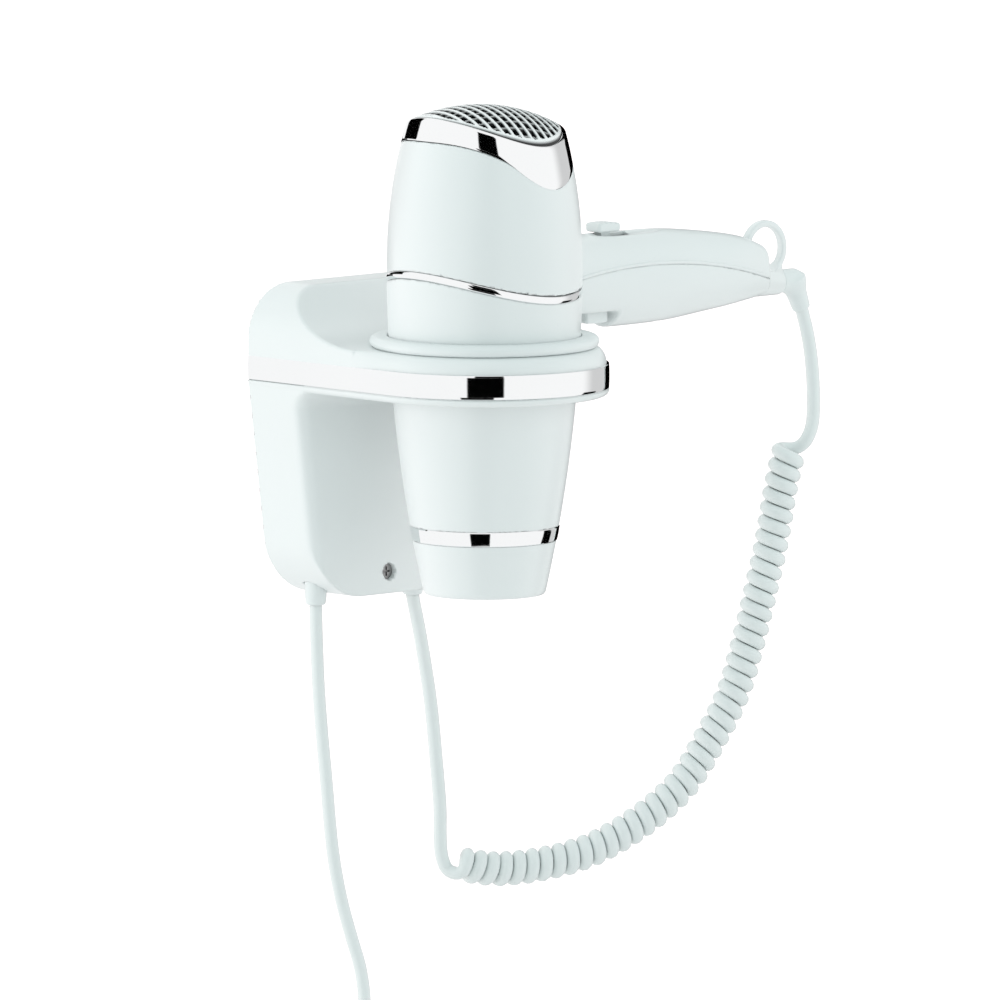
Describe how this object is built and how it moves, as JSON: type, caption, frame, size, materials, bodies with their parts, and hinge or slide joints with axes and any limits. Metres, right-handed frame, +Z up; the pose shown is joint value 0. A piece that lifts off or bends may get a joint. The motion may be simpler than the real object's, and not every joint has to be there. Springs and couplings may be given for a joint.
{
  "type": "hair dryer",
  "caption": "Wall-mounted hotel hair dryer hanging nozzle down in the ring collar of its holder, with a curly cord to the holder and a plugged mains lead.",
  "frame": {"origin": "middle of the wall plate's back face, on the wall plane", "axes": "+Y into the wall, -Y away from it, +Z up, +X along the wall to the side the handle points to; the dryer's barrel is parallel to Z"},
  "size_m": [0.2331, 0.136, 0.514],
  "materials": {
    "white_plastic": "gloss moulded ABS, cool white",
    "chrome": "bright chrome plating",
    "dark_plastic": "moulded, dark",
    "steel": "satin",
    "brass": "plated",
    "mica": "mica sheet",
    "cord": "soft white PVC, semi-gloss",
    "grey_plastic": "moulded, light grey",
    "soft_white": "soft white PVC, semi-gloss",
    "tie": "hook-and-loop strap",
    "grille": "bright chrome plating on a slotted moulding",
    "copper": "wound copper on laminations",
    "heater_wire": "bare resistance wire",
    "board": "laminate with solder mask"
  },
  "bodies": {
    "holder": {"wall_plate": "grey_plastic", "holder_lower_shell": "white_plastic", "holder_upper_shell": "white_plastic", "holder_chrome_band": "chrome", "collar_liner": "white_plastic", "cover_screw": "steel", "shell_screws": "steel", "terminal_block": "grey_plastic", "terminal_screws": "brass", "cord_clamps": "grey_plastic", "mains_cord_gland": "soft_white", "curly_cord_gland": "soft_white", "mains_lead": "cord", "mains_lead_coil": "cord", "mains_lead_tail": "cord", "cord_tie": "tie", "plug_body": "soft_white", "plug_pins": "brass", "curly_lower_lead": "cord", "curly_coil": "cord"},
    "dryer": {"curly_upper_lead": "cord", "rear_housing": "white_plastic", "front_housing": "white_plastic", "wave_trim": "chrome", "rear_cap_ring": "chrome", "rear_grille": "grille", "intake_filter": "dark_plastic", "nozzle_band": "chrome", "nozzle_tip": "white_plastic", "outlet_grille": "dark_plastic", "motor_mount": "grey_plastic", "motor_can": "steel", "motor_magnets": "dark_plastic", "motor_bearings": "brass", "heat_shield_tube": "mica", "heater_frame": "mica", "heater_coils": "heater_wire", "thermostat": "steel", "thermal_fuse": "steel", "slide_switch_body": "dark_plastic", "microswitch": "dark_plastic", "button_spring": "steel", "circuit_board": "board", "handle_screws": "steel", "handle_cord_clamp": "grey_plastic", "hanging_loop": "soft_white", "cord_strain_relief": "soft_white"},
    "fan": {"motor_shaft": "steel", "motor_rotor": "copper", "impeller": "dark_plastic"},
    "button": {"push_button": "white_plastic"},
    "knob": {"switch_knob": "white_plastic"}
  },
  "joints": [
    {"name": "dryer_lift", "type": "slide", "parent": "holder", "child": "dryer", "axis": [0, 0, 1], "range_m": [0, 0.11], "deforming": ["curly_coil"]},
    {"name": "fan_spin", "type": "hinge", "parent": "dryer", "child": "fan", "pos_m": [0, -0.086, 0.09], "axis": [0, 0, 1], "continuous": true},
    {"name": "button_press", "type": "slide", "parent": "dryer", "child": "button", "axis": [0, 0, 1], "range_m": [0, 0.0025], "stiffness_N_per_m": 300, "springref_m": -0.002, "deforming": ["button_spring"]},
    {"name": "switch_slide", "type": "slide", "parent": "dryer", "child": "knob", "axis": [1, 0, 0], "range_m": [0, 0.01]}
  ]
}
